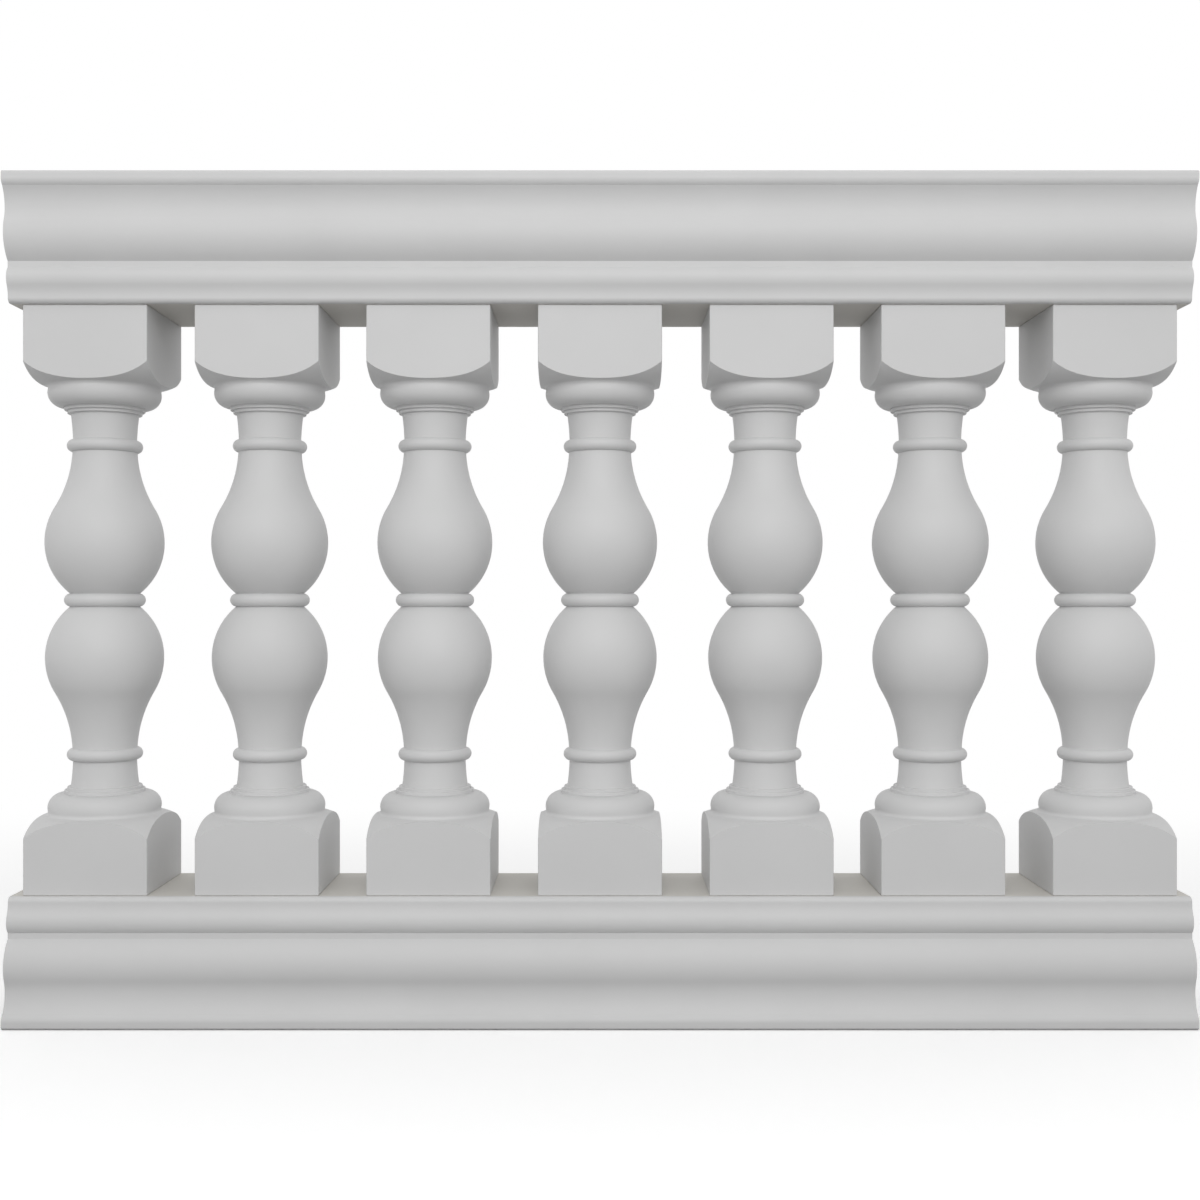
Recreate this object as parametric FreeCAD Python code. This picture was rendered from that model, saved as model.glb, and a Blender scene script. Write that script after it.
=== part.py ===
"""Deck railing section: moulded top and bottom rails with turned balusters between them, each on a steel pipe.

Units are millimetres. X runs along the rails, Y across them, Z up.
The origin is under the middle of the bottom rail, on the surface that it stands on.
"""

import FreeCAD, Part
import math
import os

from FreeCAD import Vector

# Rails: one moulding serves both, its wide face up on the top rail and down on the bottom rail
rail_length = 1216.0
rail_width = 178.0
rail_height = 131.5
wide_edge_round = 3.0
fascia_height = 14.5
fascia_round_depth = 3.5
fascia_round_height = 7.0
hollow_setback = 10.2
crown_setback = 5.5
quirk_setback = 18.0
quirk_height = 6.1
bead_setback = 13.4
bead_upper_height = 10.6
bead_lower_height = 19.6
base_setback = 18.3
base_height = 6.5
base_round = 5.5

# Shape of the rail's ogee curves, as shares of the height that each one has
hollow_at = 0.29
crown_at = 0.62
rail_ogee_share = 0.45
bead_ogee_share = 0.43

# Balusters: square blocks at both ends of a turned double vase
baluster_count = 7
baluster_height = 610.0
end_margin = 13.0
block_width = 128.0
block_edge_round = 1.2
block_straight = 58.0
block_depth = 78.1
shoulder_level_radius = 49.6
collar_radius = 58.3
shoulder_cove = 4.0
collar_section = 15.1
collar_drop = 6.6
outer_ring_radius = 41.5
inner_ring_radius = 38.4
ring_height = 3.4
ring_round = 0.8
neck_top_radius = 35.0
neck_radius = 32.6
neck_bead_at = 140.4
neck_bead_radius = 39.0
neck_bead_half_height = 6.6
vase_hollow_radius = 33.1
upper_belly_radius = 61.3
lower_belly_radius = 60.8
belly_from_waist = 61.5
vase_ogee_share = 0.64
waist_radius = 35.8
waist_bead_radius = 41.8
waist_bead_half_height = 7.0

# Steel pipes through the balusters, with their ends in sockets drilled in the rails
pipe_diameter = 38.0
pipe_wall = 3.0
pipe_reach = 44.0
pipe_clearance = 0.3
pipe_top_gap = 2.0

# Room around the turned form, outside the square that it is cut from
turning_allowance = 5.0

baluster_pitch = (rail_length - 2 * end_margin - block_width) / (baluster_count - 1)
baluster_base = rail_height
baluster_top = baluster_base + baluster_height
pipe_bore = pipe_diameter / 2 + pipe_clearance


def baluster_places():
    """X of each baluster's axis, from left to right."""
    first = -baluster_pitch * (baluster_count - 1) / 2
    return [first + index * baluster_pitch for index in range(baluster_count)]


class Arc:
    """A circular arc that runs along the axis at its tip and ends at its foot. Points are (across, along)."""

    def __init__(self, tip, foot):
        across, along = foot[0] - tip[0], foot[1] - tip[1]
        self.radius = (along**2 + across**2) / (2 * across)
        self.tip = tip
        self.foot = foot

    def at(self, along):
        """The point of the arc at that distance along the axis."""
        lift = abs(self.radius) - math.sqrt(self.radius**2 - (along - self.tip[1]) ** 2)
        return (self.tip[0] + math.copysign(lift, self.radius), along)

    def points(self, start, end):
        """Three points of the arc, from one distance along the axis to another."""
        return [self.at(start), self.at((start + end) / 2), self.at(end)]


def ogee(tip, far_tip, share):
    """Two tangent arcs that run along the axis at both tips and join at that share of the way."""
    join = tuple(a + share * (b - a) for a, b in zip(tip, far_tip))
    return Arc(tip, join), Arc(far_tip, join)


def quarter_round(start, end, bulge):
    """Three points of a quarter circle from start to end, with its corner at bulge."""
    centre = (start[0] + end[0] - bulge[0], start[1] + end[1] - bulge[1])
    toward_bulge = 1 / math.sqrt(2)
    middle = tuple(c + (b - c) * toward_bulge for c, b in zip(centre, bulge))
    return [start, middle, end]


def meeting_point(centre_a, radius_a, centre_b, radius_b):
    """The meeting point of two circles that lies further across."""
    offset = (centre_b[0] - centre_a[0], centre_b[1] - centre_a[1])
    distance = math.hypot(*offset)
    reach = (distance**2 + radius_a**2 - radius_b**2) / (2 * distance)
    rise = math.sqrt(radius_a**2 - reach**2)
    unit = (offset[0] / distance, offset[1] / distance)
    found = []
    for side in (1, -1):
        across = centre_a[0] + reach * unit[0] + side * rise * unit[1]
        along = centre_a[1] + reach * unit[1] - side * rise * unit[0]
        found.append((across, along))
    return max(found)


def toward(centre, target, distance):
    """The point at that distance from the centre, on the way to the target."""
    share = distance / math.dist(centre, target)
    return tuple(c + share * (t - c) for c, t in zip(centre, target))


def outline_face(stretches, place):
    """A flat face from stretches of two points (lines) or three (arcs). place turns a point into a Vector."""
    edges = []
    for stretch in stretches:
        spots = [place(point) for point in stretch]
        if len(spots) == 2:
            edges.append(Part.LineSegment(*spots).toShape())
        else:
            edges.append(Part.Arc(*spots).toShape())
    return Part.Face(Part.Wire(edges))


# Rails


def rail_side():
    """One side of the rail's section, as (distance from the middle, distance from the wide face)."""
    half = rail_width / 2
    base_top = rail_height - base_height
    bead_crest = base_top - bead_lower_height
    quirk_bottom = bead_crest - bead_upper_height
    quirk_top = quirk_bottom - quirk_height
    curve_height = quirk_top - fascia_height

    hollow_start = (half - fascia_round_depth, fascia_height)
    hollow_tip = (half - hollow_setback, fascia_height + hollow_at * curve_height)
    crown = (half - crown_setback, fascia_height + crown_at * curve_height)
    quirk = half - quirk_setback
    bead_tip = (half - bead_setback, bead_crest)
    base = (half - base_setback, base_top)
    seat_edge = (base[0] - base_round, rail_height)

    fascia_edge = Arc((half, fascia_height - fascia_round_height), hollow_start)
    upper_hollow = Arc(hollow_tip, hollow_start)
    lower_hollow, upper_crown = ogee(hollow_tip, crown, rail_ogee_share)
    lower_crown = Arc(crown, (quirk, quirk_top))
    upper_bead = Arc(bead_tip, (quirk, quirk_bottom))
    lower_bead, cove = ogee(bead_tip, base, bead_ogee_share)

    return [
        [(0, 0), (half - wide_edge_round, 0)],
        quarter_round((half - wide_edge_round, 0), (half, wide_edge_round), (half, 0)),
        [(half, wide_edge_round), fascia_edge.tip],
        fascia_edge.points(fascia_edge.tip[1], fascia_height),
        upper_hollow.points(fascia_height, hollow_tip[1]),
        lower_hollow.points(hollow_tip[1], lower_hollow.foot[1]),
        upper_crown.points(upper_crown.foot[1], crown[1]),
        lower_crown.points(crown[1], quirk_top),
        [(quirk, quirk_top), (quirk, quirk_bottom)],
        upper_bead.points(quirk_bottom, bead_crest),
        lower_bead.points(bead_crest, lower_bead.foot[1]),
        cove.points(cove.foot[1], base_top),
        [base, (base[0], rail_height - base_round)],
        quarter_round((base[0], rail_height - base_round), seat_edge, (base[0], rail_height)),
        [seat_edge, (0, rail_height)],
    ]


def make_rail(wide_face, inward, socket_depth):
    """A rail with its wide face at that height and its sockets on the inward side (1 is up, -1 is down)."""
    near = rail_side()
    far = [[(-across, depth) for across, depth in reversed(stretch)] for stretch in reversed(near)]

    def place(point):
        return Vector(-rail_length / 2, point[0], wide_face + inward * point[1])

    rail = outline_face(near + far, place).extrude(Vector(rail_length, 0, 0))
    seat = wide_face + inward * rail_height
    socket_low = min(seat, seat - inward * socket_depth)
    sockets = [
        Part.makeCylinder(pipe_bore, socket_depth, Vector(x, 0, socket_low)) for x in baluster_places()
    ]
    return rail.cut(Part.makeCompound(sockets))


# Balusters


def turned_half(belly_radius):
    """One end of the turned outline, from the block to the waist bead, as (radius, distance from the end)."""
    waist = baluster_height / 2
    corner = block_width / math.sqrt(2)
    outside = corner + turning_allowance

    # The shoulder turns the block's corners off in an arc, and a small cove joins it to the collar
    shoulder_fall = block_depth - block_straight
    shoulder_spread = corner - shoulder_level_radius
    shoulder_radius = (shoulder_spread**2 + shoulder_fall**2) / (2 * shoulder_fall)
    shoulder_centre = (shoulder_level_radius, block_depth - shoulder_radius)
    collar_centre = (collar_radius - collar_section, block_depth + collar_drop)
    cove_centre = meeting_point(
        shoulder_centre, shoulder_radius + shoulder_cove, collar_centre, collar_section + shoulder_cove
    )
    shoulder_end = toward(shoulder_centre, cove_centre, shoulder_radius)
    collar_start = toward(collar_centre, cove_centre, collar_section)
    cove_chord = tuple((a + b) / 2 for a, b in zip(shoulder_end, collar_start))
    cove_middle = toward(cove_centre, cove_chord, shoulder_cove)
    middle_radius = (corner + shoulder_end[0]) / 2
    middle_rise = math.sqrt(shoulder_radius**2 - (middle_radius - shoulder_level_radius) ** 2)
    shoulder_middle = (middle_radius, shoulder_centre[1] + middle_rise)
    collar_crest = (collar_radius, collar_centre[1])
    collar_end = (collar_centre[0], collar_centre[1] + collar_section)

    stretches = [
        [(outside, 0), (outside, block_straight - turning_allowance)],
        [(outside, block_straight - turning_allowance), (corner, block_straight)],
        [(corner, block_straight), shoulder_middle, shoulder_end],
        [shoulder_end, cove_middle, collar_start],
        [collar_start, collar_crest, collar_end],
    ]

    # Two small rings step down from the collar to the neck
    last = collar_end
    for radius in (outer_ring_radius, inner_ring_radius):
        top = (radius, last[1])
        edge = (radius, last[1] + ring_height)
        side_end = (radius, edge[1] - ring_round)
        foot = (radius - ring_round, edge[1])
        stretches += [[last, top], [top, side_end], quarter_round(side_end, foot, edge)]
        last = foot
    neck_top = (neck_top_radius, last[1])
    stretches.append([last, neck_top])

    # The neck draws in to its bead, and the vase swells from the bead to its belly and closes on the waist
    neck_tip = (neck_radius, neck_bead_at)
    belly = (belly_radius, waist - belly_from_waist)
    neck = Arc(neck_tip, neck_top)
    hollow, swell = ogee((vase_hollow_radius, neck_bead_at), belly, vase_ogee_share)
    waist_edge = waist - waist_bead_half_height
    closing = Arc(belly, (waist_radius, waist_edge))
    bead_top = neck.at(neck_bead_at - neck_bead_half_height)
    bead_bottom = hollow.at(neck_bead_at + neck_bead_half_height)
    stretches += [
        neck.points(neck_top[1], bead_top[1]),
        [bead_top, (neck_bead_radius, neck_bead_at), bead_bottom],
        hollow.points(bead_bottom[1], hollow.foot[1]),
        swell.points(swell.foot[1], belly[1]),
        closing.points(belly[1], waist_edge),
    ]
    return stretches


def make_baluster(x):
    """A square blank, turned to the double vase between its end blocks and bored for the pipe."""
    upper = turned_half(upper_belly_radius)
    lower = [
        [(radius, baluster_height - along) for radius, along in reversed(stretch)]
        for stretch in reversed(turned_half(lower_belly_radius))
    ]
    waist_bead = [upper[-1][-1], (waist_bead_radius, baluster_height / 2), lower[0][0]]
    outside = upper[0][0][0]
    ends = [
        [(outside, baluster_height), (pipe_bore, baluster_height)],
        [(pipe_bore, baluster_height), (pipe_bore, 0)],
        [(pipe_bore, 0), (outside, 0)],
    ]

    def place(point):
        return Vector(x + point[0], 0, baluster_top - point[1])

    section = outline_face(upper + [waist_bead] + lower + ends, place)
    turned = section.revolve(Vector(x, 0, 0), Vector(0, 0, 1), 360)
    blank_corner = Vector(x - block_width / 2, -block_width / 2, baluster_base)
    blank = Part.makeBox(block_width, block_width, baluster_height, blank_corner)
    upright = [edge for edge in blank.Edges if edge.BoundBox.ZLength > baluster_height / 2]
    return turned.common(blank.makeFillet(block_edge_round, upright))


# Pipes


def make_pipe(x):
    """A steel tube from the bottom rail's socket, through the baluster, into the top rail's socket."""
    length = baluster_height + 2 * pipe_reach
    foot = Vector(x, 0, baluster_base - pipe_reach)
    outer = Part.makeCylinder(pipe_diameter / 2, length, foot)
    return outer.cut(Part.makeCylinder(pipe_diameter / 2 - pipe_wall, length, foot))


def main():
    parts = {
        "bottom_rail": make_rail(0, 1, pipe_reach),
        "top_rail": make_rail(baluster_top + rail_height, -1, pipe_reach + pipe_top_gap),
    }
    for number, x in enumerate(baluster_places(), start=1):
        parts[f"baluster_{number}"] = make_baluster(x)
        parts[f"pipe_{number}"] = make_pipe(x)

    os.makedirs("parts", exist_ok=True)
    for name, shape in parts.items():
        shape.exportStep(f"parts/{name}.step")
        print(f"{name}: {len(shape.Solids)} solid, {shape.Volume / 1e6:.3f} litres, valid {shape.isValid()}")


main()
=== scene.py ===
import bpy
import math
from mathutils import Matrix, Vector


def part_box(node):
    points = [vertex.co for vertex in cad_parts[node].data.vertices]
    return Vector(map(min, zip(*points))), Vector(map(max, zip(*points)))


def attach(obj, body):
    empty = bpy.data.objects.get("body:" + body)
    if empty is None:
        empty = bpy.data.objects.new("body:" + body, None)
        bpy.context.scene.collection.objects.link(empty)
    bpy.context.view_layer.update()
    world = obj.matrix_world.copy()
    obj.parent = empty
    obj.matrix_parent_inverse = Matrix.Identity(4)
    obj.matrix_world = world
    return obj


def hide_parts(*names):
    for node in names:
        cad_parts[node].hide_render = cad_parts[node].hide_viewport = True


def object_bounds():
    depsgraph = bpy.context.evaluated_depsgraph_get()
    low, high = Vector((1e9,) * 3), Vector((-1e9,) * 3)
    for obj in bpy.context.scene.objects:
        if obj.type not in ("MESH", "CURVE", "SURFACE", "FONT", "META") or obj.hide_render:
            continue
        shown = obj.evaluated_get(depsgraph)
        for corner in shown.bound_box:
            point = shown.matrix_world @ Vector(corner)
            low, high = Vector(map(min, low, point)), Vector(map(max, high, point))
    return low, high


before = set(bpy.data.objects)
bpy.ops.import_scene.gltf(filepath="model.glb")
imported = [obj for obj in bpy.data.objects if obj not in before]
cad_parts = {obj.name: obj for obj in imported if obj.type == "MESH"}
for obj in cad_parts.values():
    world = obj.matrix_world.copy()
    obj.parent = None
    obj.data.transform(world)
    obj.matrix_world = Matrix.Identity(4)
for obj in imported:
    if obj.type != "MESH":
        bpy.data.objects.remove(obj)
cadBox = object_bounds()
mm = 0.001
weldGap = 0.01 * mm  # points closer than this are one point
balusterNodes = sorted(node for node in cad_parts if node.startswith("baluster_"))
pipeNodes = sorted(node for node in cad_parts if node.startswith("pipe_"))
print("frame loaded,", len(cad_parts), "nodes")


# small helpers

def deselectAll():
    if bpy.context.object and bpy.context.object.mode != "OBJECT":
        bpy.ops.object.mode_set(mode="OBJECT")
    bpy.ops.object.select_all(action="DESELECT")


def pickOnly(piece):
    deselectAll()
    piece.select_set(True)
    bpy.context.view_layer.objects.active = piece


def selectFaces(piece, test):  # leaves the piece in edit mode with just these faces selected
    pickOnly(piece)
    bpy.ops.object.mode_set(mode="EDIT")
    bpy.ops.mesh.select_mode(type="FACE")
    bpy.ops.mesh.select_all(action="DESELECT")
    bpy.ops.object.mode_set(mode="OBJECT")
    for face in piece.data.polygons:
        face.select = test(face)
    bpy.ops.object.mode_set(mode="EDIT")


def applyModifier(piece, kind, **settings):
    pickOnly(piece)
    bpy.ops.object.modifier_add(type=kind)
    modifier = piece.modifiers[-1]
    for key, value in settings.items():
        setattr(modifier, key, value)
    bpy.ops.object.modifier_apply(modifier=modifier.name)


def cutWith(piece, tool, operation):  # the tool is used up
    applyModifier(piece, "BOOLEAN", operation=operation, object=tool, solver="EXACT")
    bpy.data.objects.remove(tool)
    bpy.ops.object.mode_set(mode="EDIT")  # weld the slivers along the cut
    bpy.ops.mesh.select_all(action="SELECT")
    bpy.ops.mesh.remove_doubles(threshold=weldGap)
    bpy.ops.mesh.dissolve_degenerate(threshold=weldGap / 10)
    bpy.ops.object.mode_set(mode="OBJECT")


def copyAlong(piece, name, shift):
    pickOnly(piece)
    bpy.ops.object.duplicate(linked=False)
    bpy.ops.transform.translate(value=shift)
    bpy.ops.object.transform_apply(location=True)
    made = bpy.context.object
    made.name = made.data.name = name
    return made


def smoothFinish(piece, angle):  # soft curves, crisp arrises, flat faces that stay flat
    pickOnly(piece)
    bpy.ops.object.shade_smooth_by_angle(angle=math.radians(angle))
    applyModifier(piece, "WEIGHTED_NORMAL", weight=100, keep_sharp=True)


def standFor(piece, node, finish):
    piece.data.materials.clear()
    piece.data.materials.append(finish)
    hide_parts(node)
    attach(piece, "root")


def finishFaces(piece, finish, test):  # a second finish on some of the faces
    piece.data.materials.append(finish)
    selectFaces(piece, test)
    piece.active_material_index = len(piece.data.materials) - 1
    bpy.ops.object.material_slot_assign()
    deselectAll()


# outlines are lists of stretches: two points are a line, three are an arc through them

def roundAt(tip, foot, along):  # on the arc that runs along the axis at its tip and ends at its foot
    across, reach = foot[0] - tip[0], foot[1] - tip[1]
    radius = (reach ** 2 + across ** 2) / (2 * across)
    lift = abs(radius) - math.sqrt(radius ** 2 - (along - tip[1]) ** 2)
    return (tip[0] + math.copysign(lift, radius), along)


def roundRun(tip, foot, start, end):
    return [roundAt(tip, foot, at) for at in (start, (start + end) / 2, end)]


def ogeeJoin(tip, farTip, share):  # two tangent arcs meet on the straight line between their tips
    return (tip[0] + share * (farTip[0] - tip[0]), tip[1] + share * (farTip[1] - tip[1]))


def quarterRun(start, end, corner):  # a quarter circle that rounds the corner off
    centre = (start[0] + end[0] - corner[0], start[1] + end[1] - corner[1])
    middle = [c + (k - c) * math.sqrt(0.5) for c, k in zip(centre, corner)]
    return [start, tuple(middle), end]


def arcCentre(a, b, c):  # of the circle through three points
    d = 2 * ((a[0] - c[0]) * (b[1] - c[1]) - (b[0] - c[0]) * (a[1] - c[1]))
    p = (a[0] - c[0]) * (a[0] + c[0]) + (a[1] - c[1]) * (a[1] + c[1])
    q = (b[0] - c[0]) * (b[0] + c[0]) + (b[1] - c[1]) * (b[1] + c[1])
    return ((p * (b[1] - c[1]) - q * (a[1] - c[1])) / d, (q * (a[0] - c[0]) - p * (b[0] - c[0])) / d)


chord = {  # how much an arc may turn along one chord, and how far it may bulge from it
    "turn": 8,
    "bulge": 0.02 * mm,
}


def walk(stretches):  # the points along an outline, its arcs as chords
    points = [stretches[0][0]]
    for stretch in stretches:
        if len(stretch) == 2:
            points.append(stretch[1])
            continue
        a, b, c = stretch
        centre = arcCentre(a, b, c)
        radius = math.dist(centre, a)
        first, middle, last = [math.atan2(p[1] - centre[1], p[0] - centre[0]) for p in (a, b, c)]
        sweep = (last - first) % math.tau
        if (middle - first) % math.tau > sweep:
            sweep -= math.tau
        stride = min(math.radians(chord["turn"]), 2 * math.acos(1 - chord["bulge"] / radius))
        steps = math.ceil(abs(sweep) / stride)
        for step in range(1, steps + 1):
            angle = first + sweep * step / steps
            points.append((centre[0] + radius * math.cos(angle), centre[1] + radius * math.sin(angle)))
    return points


def drawOutline(name, points):  # one vertex, pulled along the outline and back to its start
    deselectAll()
    bpy.ops.mesh.primitive_plane_add(size=mm, location=points[0])
    piece = bpy.context.object
    piece.name = piece.data.name = name
    bpy.ops.object.transform_apply(location=True)
    bpy.ops.object.mode_set(mode="EDIT")
    bpy.ops.mesh.select_mode(type="VERT")
    bpy.ops.mesh.merge(type="CENTER")
    for here, there in zip(points, points[1:] + points[:1]):
        bpy.ops.mesh.extrude_vertices_move(TRANSFORM_OT_translate={"value": there - here})
    bpy.ops.mesh.select_all(action="SELECT")
    bpy.ops.mesh.remove_doubles(threshold=weldGap)
    return piece


# finishes

def newGroup(name, inputs, outputs):
    group = bpy.data.node_groups.new(name, "ShaderNodeTree")
    for label, value in inputs.items():
        socket = group.interface.new_socket(label, in_out="INPUT", socket_type="NodeSocketFloat")
        socket.default_value = value
    for label in outputs:
        group.interface.new_socket(label, in_out="OUTPUT", socket_type="NodeSocketFloat")
    return group, group.nodes.new("NodeGroupInput"), group.nodes.new("NodeGroupOutput")


def makeUnevenGroup():  # broad clouding and fine speckle around 0, from the object's own place
    scales = {"Cloud Scale": 8, "Speck Scale": 600}
    group, given, result = newGroup("unevenSurface", scales, ["Cloud", "Speck"])
    nodes, links = group.nodes, group.links
    place = nodes.new("ShaderNodeTexCoord")
    for label, detail in (("Cloud", 4), ("Speck", 2)):
        noise = nodes.new("ShaderNodeTexNoise")
        noise.inputs["Detail"].default_value = detail
        centred = nodes.new("ShaderNodeMath")
        centred.operation = "SUBTRACT"
        centred.inputs[1].default_value = 0.5
        links.new(place.outputs["Object"], noise.inputs["Vector"])
        links.new(given.outputs[label + " Scale"], noise.inputs["Scale"])
        links.new(noise.outputs["Fac"], centred.inputs[0])
        links.new(centred.outputs[0], result.inputs[label])
    return group


noiseReach = 0.25  # the noise seldom strays further from its middle


def mixed(nodes, links, low, high, factor):  # a value between two, led by the noise
    blend = nodes.new("ShaderNodeMapRange")
    blend.inputs["From Min"].default_value = -noiseReach
    blend.inputs["From Max"].default_value = noiseReach
    blend.inputs["To Min"].default_value = low
    blend.inputs["To Max"].default_value = high
    links.new(factor, blend.inputs["Value"])
    return blend.outputs["Result"]


uneven = makeUnevenGroup()

primer = {
    "pale": (0.640, 0.640, 0.640, 1),
    "dull": (0.612, 0.612, 0.612, 1),
    "smooth": 0.50,
    "rough": 0.62,
    "cloudScale": 9,
    "speckScale": 420,
    "peelStrength": 0.08,
    "peelHeight": 0.02 * mm,
}

seatFinish = {  # the seat faces get a warmer tint and a rougher finish than the primer
    "pale": (0.672, 0.652, 0.610, 1),
    "dull": (0.624, 0.606, 0.566, 1),
    "smooth": 0.58,
    "rough": 0.74,
    "cloudScale": 16,
    "speckScale": 260,
    "peelStrength": 0.15,
    "peelHeight": 0.03 * mm,
}


def makeUrethane(name, finish):
    material = bpy.data.materials.new(name)
    material.use_nodes = True
    nodes, links = material.node_tree.nodes, material.node_tree.links
    shader = nodes["Principled BSDF"]
    surface = nodes.new("ShaderNodeGroup")
    surface.node_tree = uneven
    surface.inputs["Cloud Scale"].default_value = finish["cloudScale"]
    surface.inputs["Speck Scale"].default_value = finish["speckScale"]
    tone = nodes.new("ShaderNodeMix")
    tone.data_type = "RGBA"
    tone.inputs["A"].default_value = finish["dull"]
    tone.inputs["B"].default_value = finish["pale"]
    links.new(mixed(nodes, links, 0, 1, surface.outputs["Cloud"]), tone.inputs["Factor"])
    links.new(tone.outputs["Result"], shader.inputs["Base Color"])
    links.new(mixed(nodes, links, finish["smooth"], finish["rough"], surface.outputs["Speck"]),
              shader.inputs["Roughness"])
    bump = nodes.new("ShaderNodeBump")
    bump.inputs["Strength"].default_value = finish["peelStrength"]
    bump.inputs["Distance"].default_value = finish["peelHeight"]
    links.new(surface.outputs["Speck"], bump.inputs["Height"])
    links.new(bump.outputs["Normal"], shader.inputs["Normal"])
    return material


zinc = {
    "pale": (0.62, 0.63, 0.64, 1),
    "dull": (0.46, 0.47, 0.48, 1),
    "smooth": 0.28,
    "rough": 0.46,
    "cloudScale": 60,
    "speckScale": 900,
    "spangle": 140,
}


def makeZinc():
    material = bpy.data.materials.new("galvanisedSteel")
    material.use_nodes = True
    nodes, links = material.node_tree.nodes, material.node_tree.links
    shader = nodes["Principled BSDF"]
    shader.inputs["Metallic"].default_value = 1
    surface = nodes.new("ShaderNodeGroup")
    surface.node_tree = uneven
    surface.inputs["Cloud Scale"].default_value = zinc["cloudScale"]
    surface.inputs["Speck Scale"].default_value = zinc["speckScale"]
    place = nodes.new("ShaderNodeTexCoord")
    spangle = nodes.new("ShaderNodeTexVoronoi")
    spangle.inputs["Scale"].default_value = zinc["spangle"]
    links.new(place.outputs["Object"], spangle.inputs["Vector"])
    tone = nodes.new("ShaderNodeMix")
    tone.data_type = "RGBA"
    tone.inputs["A"].default_value = zinc["dull"]
    tone.inputs["B"].default_value = zinc["pale"]
    links.new(spangle.outputs["Color"], tone.inputs["Factor"])
    links.new(tone.outputs["Result"], shader.inputs["Base Color"])
    links.new(mixed(nodes, links, zinc["smooth"], zinc["rough"], surface.outputs["Cloud"]),
              shader.inputs["Roughness"])
    return material


primedUrethane = makeUrethane("primedUrethane", primer)
seatUrethane = makeUrethane("seatUrethane", seatFinish)
galvanisedSteel = makeZinc()
print("finishes made")


# pipes: the frame's own tubes, each in a bore through its baluster and a socket in both rails

pipe = {
    "clearance": 0.3 * mm,
    "topGap": 2.0 * mm,
}


def boreRadius(node):  # of the holes around this pipe
    low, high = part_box(node)
    return (high.x - low.x) / 2 + pipe["clearance"]


for node in pipeNodes:
    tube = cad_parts[node]
    tube.data.materials.clear()
    tube.data.materials.append(galvanisedSteel)
print("pipes finished:", len(pipeNodes))


# rails: one moulding, its wide face up on top and down below

rail = {
    "wideEdgeRound": 3.0 * mm,
    "fasciaHeight": 14.5 * mm,
    "fasciaEase": (3.5 * mm, 7.0 * mm),
    "hollowSetback": 10.2 * mm,
    "crownSetback": 5.5 * mm,
    "quirkSetback": 18.0 * mm,
    "quirkHeight": 6.1 * mm,
    "beadSetback": 13.4 * mm,
    "beadUpper": 10.6 * mm,
    "beadLower": 19.6 * mm,
    "baseSetback": 18.3 * mm,
    "baseHeight": 6.5 * mm,
    "baseRound": 5.5 * mm,
    "hollowAt": 0.29,
    "crownAt": 0.62,
    "ogeeShare": 0.45,
    "beadShare": 0.43,
    "endEase": 0.6 * mm,
    "endEaseSteps": 2,
    "endSquare": 0.99,
    "socketSides": 64,
    "smoothAngle": 12,
}


def railSide(half, height):  # (distance from the middle, distance from the wide face)
    baseTop = height - rail["baseHeight"]
    beadCrest = baseTop - rail["beadLower"]
    quirkBottom = beadCrest - rail["beadUpper"]
    quirkTop = quirkBottom - rail["quirkHeight"]
    fascia = rail["fasciaHeight"]
    curve = quirkTop - fascia
    edge = rail["wideEdgeRound"]
    easeDepth, easeHeight = rail["fasciaEase"]
    fasciaEnd = (half, fascia - easeHeight)
    hollowStart = (half - easeDepth, fascia)
    hollow = (half - rail["hollowSetback"], fascia + rail["hollowAt"] * curve)
    crown = (half - rail["crownSetback"], fascia + rail["crownAt"] * curve)
    quirk = half - rail["quirkSetback"]
    bead = (half - rail["beadSetback"], beadCrest)
    base = (half - rail["baseSetback"], baseTop)
    toCrown = ogeeJoin(hollow, crown, rail["ogeeShare"])
    toBase = ogeeJoin(bead, base, rail["beadShare"])
    foot = rail["baseRound"]
    return [
        [(0, 0), (half - edge, 0)],
        quarterRun((half - edge, 0), (half, edge), (half, 0)),
        [(half, edge), fasciaEnd],
        roundRun(fasciaEnd, hollowStart, fasciaEnd[1], fascia),
        roundRun(hollow, hollowStart, fascia, hollow[1]),
        roundRun(hollow, toCrown, hollow[1], toCrown[1]),
        roundRun(crown, toCrown, toCrown[1], crown[1]),
        roundRun(crown, (quirk, quirkTop), crown[1], quirkTop),
        [(quirk, quirkTop), (quirk, quirkBottom)],
        roundRun(bead, (quirk, quirkBottom), quirkBottom, beadCrest),
        roundRun(bead, toBase, beadCrest, toBase[1]),
        roundRun(base, toBase, toBase[1], baseTop),
        [base, (base[0], height - foot)],
        quarterRun((base[0], height - foot), (base[0] - foot, height), (base[0], height)),
    ]


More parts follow.
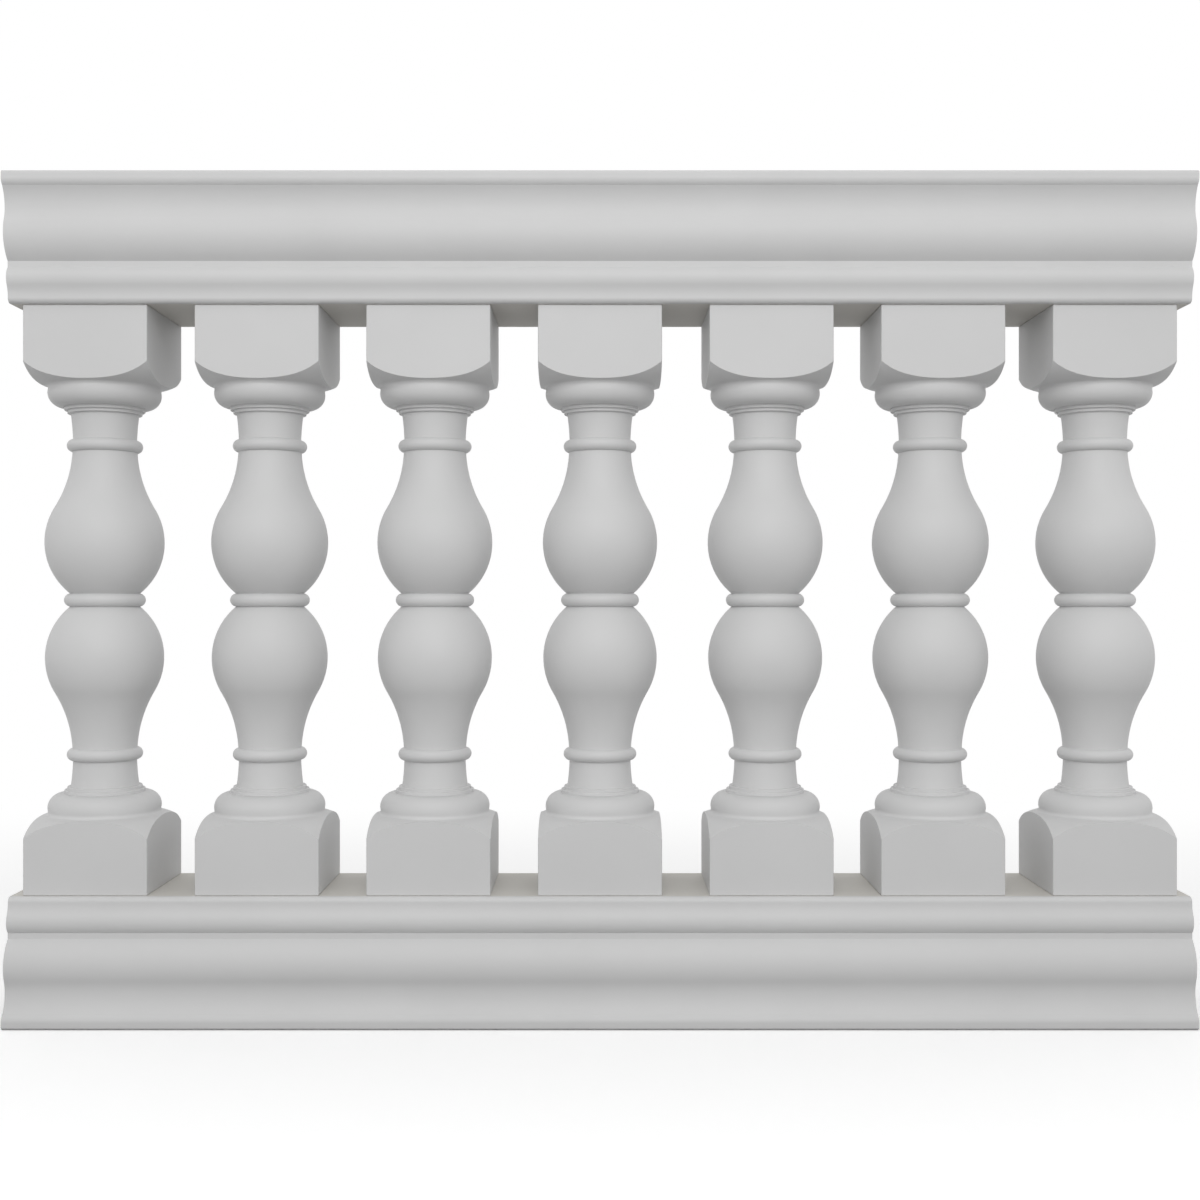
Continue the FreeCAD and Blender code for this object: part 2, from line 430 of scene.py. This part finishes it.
def makeRail(name, node, wideUp):
    low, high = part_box(node)
    half, height = (high.y - low.y) / 2, high.z - low.z
    side = walk(railSide(half, height))[1:]
    outline = side + [(-across, depth) for across, depth in reversed(side)]

    def place(point):
        return Vector((low.x, point[0], high.z - point[1] if wideUp else low.z + point[1]))

    piece = drawOutline(name, [place(point) for point in outline])
    bpy.ops.mesh.edge_face_add()
    bpy.ops.mesh.extrude_region_move(TRANSFORM_OT_translate={"value": (high.x - low.x, 0, 0)})
    bpy.ops.mesh.select_all(action="SELECT")
    bpy.ops.mesh.normals_make_consistent(inside=False)
    selectFaces(piece, lambda face: abs(face.normal.x) > rail["endSquare"])  # the two cut ends
    bpy.ops.mesh.region_to_loop()
    bpy.ops.mesh.bevel(offset=rail["endEase"], segments=rail["endEaseSteps"], affect="EDGES")
    drillSockets(piece, low, high, wideUp)
    smoothFinish(piece, rail["smoothAngle"])
    standFor(piece, node, primedUrethane)
    seat = low.z if wideUp else high.z
    # the seat faces take the warmer, rougher finish
    finishFaces(piece, seatUrethane, lambda face: abs(face.center.z - seat) < weldGap)
    return piece


def drillSockets(piece, low, high, wideUp):  # one for each pipe, where the pipe's node is
    drills = []
    for node in pipeNodes:
        pipeLow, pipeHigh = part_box(node)
        middle = (pipeLow + pipeHigh) / 2
        end = pipeHigh.z + pipe["topGap"] if wideUp else pipeLow.z
        mouth = low.z - mm if wideUp else high.z + mm
        deselectAll()
        bpy.ops.mesh.primitive_cylinder_add(
            vertices=rail["socketSides"],
            radius=boreRadius(node),
            depth=abs(end - mouth),
            location=(middle.x, middle.y, (end + mouth) / 2),
        )
        drills.append(bpy.context.object)
    for drill in drills:
        drill.select_set(True)
    bpy.ops.object.join()
    bpy.ops.object.transform_apply(location=True)
    cutWith(piece, bpy.context.object, "DIFFERENCE")


# balusters: a square blank, turned between its end blocks

baluster = {
    "blockEase": 1.2 * mm,
    "blockEaseSteps": 3,
    "blockStraight": 58.0 * mm,
    "blockDepth": 78.1 * mm,
    "shoulderLevel": 49.6 * mm,
    "collarRadius": 58.3 * mm,
    "shoulderCove": 4.0 * mm,
    "collarSection": 15.1 * mm,
    "collarDrop": 6.6 * mm,
    "ringRadii": (41.5 * mm, 38.4 * mm),
    "ringHeight": 3.4 * mm,
    "ringRound": 0.8 * mm,
    "neckTop": 35.0 * mm,
    "neck": 32.6 * mm,
    "neckBeadAt": 140.4 * mm,
    "neckBead": 39.0 * mm,
    "neckBeadHalf": 6.6 * mm,
    "vaseHollow": 33.1 * mm,
    "upperBelly": 61.3 * mm,
    "lowerBelly": 60.8 * mm,
    "bellyFromWaist": 61.5 * mm,
    "vaseShare": 0.64,
    "waist": 35.8 * mm,
    "waistBead": 41.8 * mm,
    "waistBeadHalf": 7.0 * mm,
    "allowance": 5.0 * mm,  # the turning starts this far outside the blank's corners
    "steps": 144,
    "smoothAngle": 32,
}


def meetingPoint(centreA, radiusA, centreB, radiusB):  # of two circles, the one further across
    away = (centreB[0] - centreA[0], centreB[1] - centreA[1])
    gap = math.hypot(*away)
    reach = (gap ** 2 + radiusA ** 2 - radiusB ** 2) / (2 * gap)
    rise = math.sqrt(radiusA ** 2 - reach ** 2)
    ux, uy = away[0] / gap, away[1] / gap
    foot = (centreA[0] + reach * ux, centreA[1] + reach * uy)
    return max((foot[0] + side * rise * uy, foot[1] - side * rise * ux) for side in (1, -1))


def toward(centre, target, distance):  # point on the way from the centre to the target
    share = distance / math.dist(centre, target)
    return (centre[0] + share * (target[0] - centre[0]), centre[1] + share * (target[1] - centre[1]))


# from a block's end to the waist bead, as (radius, distance from the end)
def turnedHalf(height, width, belly):
    corner = width / math.sqrt(2)
    outside = corner + baluster["allowance"]
    straight, depth, level = baluster["blockStraight"], baluster["blockDepth"], baluster["shoulderLevel"]
    fall, spread = depth - straight, corner - level
    domeRadius = (spread ** 2 + fall ** 2) / (2 * fall)
    domeCentre = (level, depth - domeRadius)
    section = baluster["collarSection"]
    collarCentre = (baluster["collarRadius"] - section, depth + baluster["collarDrop"])
    cove = baluster["shoulderCove"]  # hollow join between the dome and the collar
    coveCentre = meetingPoint(domeCentre, domeRadius + cove, collarCentre, section + cove)
    domeEnd = toward(domeCentre, coveCentre, domeRadius)
    collarStart = toward(collarCentre, coveCentre, section)
    coveChord = ((domeEnd[0] + collarStart[0]) / 2, (domeEnd[1] + collarStart[1]) / 2)
    between = (corner + domeEnd[0]) / 2
    domeMiddle = (between, domeCentre[1] + math.sqrt(domeRadius ** 2 - (between - level) ** 2))
    last = (collarCentre[0], collarCentre[1] + section)
    run = [
        [(outside, 0), (outside, straight - baluster["allowance"])],
        [(outside, straight - baluster["allowance"]), (corner, straight)],
        [(corner, straight), domeMiddle, domeEnd],
        [domeEnd, toward(coveCentre, coveChord, cove), collarStart],
        [collarStart, (baluster["collarRadius"], collarCentre[1]), last],
    ]
    ease = baluster["ringRound"]
    for ring in baluster["ringRadii"]:  # two small rings step down to the neck
        edge = (ring, last[1] + baluster["ringHeight"])
        side = (ring, edge[1] - ease)
        foot = (ring - ease, edge[1])
        run += [[last, (ring, last[1])], [(ring, last[1]), side], quarterRun(side, foot, edge)]
        last = foot
    neckTop = (baluster["neckTop"], last[1])
    run.append([last, neckTop])
    neckTip = (baluster["neck"], baluster["neckBeadAt"])
    vaseTip = (baluster["vaseHollow"], baluster["neckBeadAt"])
    bellyTip = (belly, height / 2 - baluster["bellyFromWaist"])
    join = ogeeJoin(vaseTip, bellyTip, baluster["vaseShare"])
    waistEdge = height / 2 - baluster["waistBeadHalf"]
    beadTop = roundAt(neckTip, neckTop, neckTip[1] - baluster["neckBeadHalf"])
    beadBottom = roundAt(vaseTip, join, vaseTip[1] + baluster["neckBeadHalf"])
    run += [
        roundRun(neckTip, neckTop, neckTop[1], beadTop[1]),
        [beadTop, (baluster["neckBead"], neckTip[1]), beadBottom],
        roundRun(vaseTip, join, beadBottom[1], join[1]),
        roundRun(bellyTip, join, join[1], bellyTip[1]),
        roundRun(bellyTip, (baluster["waist"], waistEdge), bellyTip[1], waistEdge),
    ]
    return run


def makeBaluster(name, node):
    low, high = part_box(node)
    middle = (low + high) / 2
    height, width = high.z - low.z, high.x - low.x
    bore = boreRadius(node.replace("baluster", "pipe"))
    upper = turnedHalf(height, width, baluster["upperBelly"])
    lower = [[(radius, height - along) for radius, along in reversed(run)]
             for run in reversed(turnedHalf(height, width, baluster["lowerBelly"]))]
    waistBead = [upper[-1][-1], (baluster["waistBead"], height / 2), lower[0][0]]
    outline = walk(upper + [waistBead] + lower) + [(bore, height), (bore, 0)]

    def place(point):
        return Vector((middle.x + point[0], middle.y, high.z - point[1]))

    piece = drawOutline(name, [place(point) for point in outline])
    bpy.ops.mesh.spin(steps=baluster["steps"], angle=math.tau, center=middle, axis=(0, 0, 1))
    bpy.ops.mesh.select_all(action="SELECT")
    bpy.ops.mesh.remove_doubles(threshold=weldGap)
    bpy.ops.mesh.normals_make_consistent(inside=False)
    cutWith(piece, makeBlank(middle, width, height), "INTERSECT")
    smoothFinish(piece, baluster["smoothAngle"])
    return piece


def makeBlank(middle, width, height):  # the squared blank with its arrises eased
    deselectAll()
    bpy.ops.mesh.primitive_cube_add(size=1, location=middle, scale=(width, width, height))
    blank = bpy.context.object
    bpy.ops.object.transform_apply(location=True, scale=True)
    bpy.ops.object.mode_set(mode="EDIT")
    bpy.ops.mesh.select_all(action="SELECT")
    bpy.ops.mesh.bevel(offset=baluster["blockEase"], segments=baluster["blockEaseSteps"], affect="EDGES")
    bpy.ops.object.mode_set(mode="OBJECT")
    return blank


makeRail("bottomRailMoulding", "bottom_rail", wideUp=False)
makeRail("topRailMoulding", "top_rail", wideUp=True)
print("rails moulded")

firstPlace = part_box(balusterNodes[0])[0]
firstTurning = makeBaluster("turnedBaluster1", balusterNodes[0])
turnings = [firstTurning]
for number, node in enumerate(balusterNodes[1:], start=2):
    turnings.append(copyAlong(firstTurning, f"turnedBaluster{number}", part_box(node)[0] - firstPlace))
for turning, node in zip(turnings, balusterNodes):
    standFor(turning, node, primedUrethane)
print("balusters turned:", len(turnings))


# studio

studio = {
    "cameraAway": 1.610,
    "lens": 45,
    "wallLight": 1.26,
    "ceilingLight": 0.56,
    "wallTop": 0.7,
}


def makeCamera():
    low, high = cadBox
    data = bpy.data.cameras.new("camera")
    data.lens = studio["lens"]
    camera = bpy.data.objects.new("camera", data)
    bpy.context.scene.collection.objects.link(camera)
    camera.location = (0, -studio["cameraAway"], (low.z + high.z) / 2)
    camera.rotation_euler = (math.pi / 2, 0, 0)
    bpy.context.scene.camera = camera


def seenDirectly(nodes, links):  # 1 for what the camera sees itself, in gloss or through glass
    path = nodes.new("ShaderNodeLightPath")
    total = None
    for ray in ("Is Camera Ray", "Is Glossy Ray", "Is Transmission Ray"):
        if total is None:
            total = path.outputs[ray]
            continue
        add = nodes.new("ShaderNodeMath")
        add.operation = "ADD"
        add.use_clamp = True
        links.new(total, add.inputs[0])
        links.new(path.outputs[ray], add.inputs[1])
        total = add.outputs[0]
    return total


def makeWorld():
    world = bpy.data.worlds.new("studio")
    world.use_nodes = True
    bpy.context.scene.world = world
    nodes, links = world.node_tree.nodes, world.node_tree.links
    lit = nodes["Background"]
    lit.inputs["Color"].default_value = (1, 1, 1, 1)
    place = nodes.new("ShaderNodeTexCoord")
    height = nodes.new("ShaderNodeSeparateXYZ")
    links.new(place.outputs["Generated"], height.inputs[0])
    fade = nodes.new("ShaderNodeMapRange")  # the studio's walls are brighter than its ceiling
    fade.inputs["From Max"].default_value = studio["wallTop"]
    fade.inputs["To Min"].default_value = studio["wallLight"]
    fade.inputs["To Max"].default_value = studio["ceilingLight"]
    links.new(height.outputs["Z"], fade.inputs["Value"])
    links.new(fade.outputs["Result"], lit.inputs["Strength"])
    white = nodes.new("ShaderNodeBackground")
    white.inputs["Color"].default_value = (1, 1, 1, 1)
    choice = nodes.new("ShaderNodeMixShader")
    links.new(seenDirectly(nodes, links), choice.inputs["Fac"])
    links.new(lit.outputs[0], choice.inputs[1])
    links.new(white.outputs[0], choice.inputs[2])
    links.new(choice.outputs[0], nodes["World Output"].inputs["Surface"])


paleFloor = {
    "size": 24,
    "drop": 0.2 * mm,
    "bounceNear": 0.26,
    "bounceFar": 0.46,
    "bounceFade": (0.10, 0.80),
    "shown": 1.28,
    "shadeKept": (0.35, 1, 0),  # the railing is long, so the shade fades later along it
    "shadeFade": (0.45, 1.6),
}


def makeFloor():
    deselectAll()
    level = cadBox[0].z - paleFloor["drop"]
    bpy.ops.mesh.primitive_plane_add(size=paleFloor["size"], location=(0, 0, level))
    floor = bpy.context.object
    floor.name = "floor"
    bpy.ops.object.transform_apply(location=True)
    material = bpy.data.materials.new("paleFloor")
    material.use_nodes = True
    nodes, links = material.node_tree.nodes, material.node_tree.links
    bounce = nodes["Principled BSDF"]
    bounce.inputs["Specular IOR Level"].default_value = 0
    shown = nodes.new("ShaderNodeBsdfDiffuse")  # white under this light, and still shaded by the railing
    shown.inputs["Color"].default_value = [paleFloor["shown"]] * 3 + [1]
    white = nodes.new("ShaderNodeEmission")
    place = nodes.new("ShaderNodeTexCoord")
    spread = nodes.new("ShaderNodeMapping")
    spread.inputs["Scale"].default_value = paleFloor["shadeKept"]
    away = nodes.new("ShaderNodeVectorMath")
    away.operation = "LENGTH"
    links.new(place.outputs["Object"], spread.inputs["Vector"])
    links.new(spread.outputs["Vector"], away.inputs[0])

    def fadeOver(reach):
        fade = nodes.new("ShaderNodeMapRange")
        fade.interpolation_type = "SMOOTHSTEP"
        fade.inputs["From Min"].default_value, fade.inputs["From Max"].default_value = reach
        links.new(away.outputs["Value"], fade.inputs["Value"])
        return fade.outputs["Result"]

    tone = nodes.new("ShaderNodeMix")
    tone.data_type = "RGBA"
    tone.inputs["A"].default_value = [paleFloor["bounceNear"]] * 3 + [1]
    tone.inputs["B"].default_value = [paleFloor["bounceFar"]] * 3 + [1]
    links.new(fadeOver(paleFloor["bounceFade"]), tone.inputs["Factor"])
    links.new(tone.outputs["Result"], bounce.inputs["Base Color"])
    nearFar = nodes.new("ShaderNodeMixShader")
    links.new(fadeOver(paleFloor["shadeFade"]), nearFar.inputs["Fac"])
    links.new(shown.outputs[0], nearFar.inputs[1])
    links.new(white.outputs[0], nearFar.inputs[2])
    choice = nodes.new("ShaderNodeMixShader")
    links.new(seenDirectly(nodes, links), choice.inputs["Fac"])
    links.new(bounce.outputs[0], choice.inputs[1])
    links.new(nearFar.outputs[0], choice.inputs[2])
    links.new(choice.outputs[0], nodes["Material Output"].inputs["Surface"])
    floor.data.materials.append(material)


keyLamp = {
    "place": (0, -2.4, 1.7),
    "size": (1.9, 1.3),
    "power": 21.3,
}


def makeKeyLamp():  # aims at the middle of the railing
    data = bpy.data.lights.new("keyLamp", "AREA")
    data.shape = "RECTANGLE"
    data.size, data.size_y = keyLamp["size"]
    data.energy = keyLamp["power"]
    light = bpy.data.objects.new("keyLamp", data)
    bpy.context.scene.collection.objects.link(light)
    light.location = keyLamp["place"]
    middle = (cadBox[0] + cadBox[1]) / 2
    light.rotation_euler = (middle - light.location).to_track_quat("-Z", "Y").to_euler()


makeCamera()
makeWorld()
makeFloor()
makeKeyLamp()
bpy.context.scene.view_settings.view_transform = "Standard"
print("studio lit")
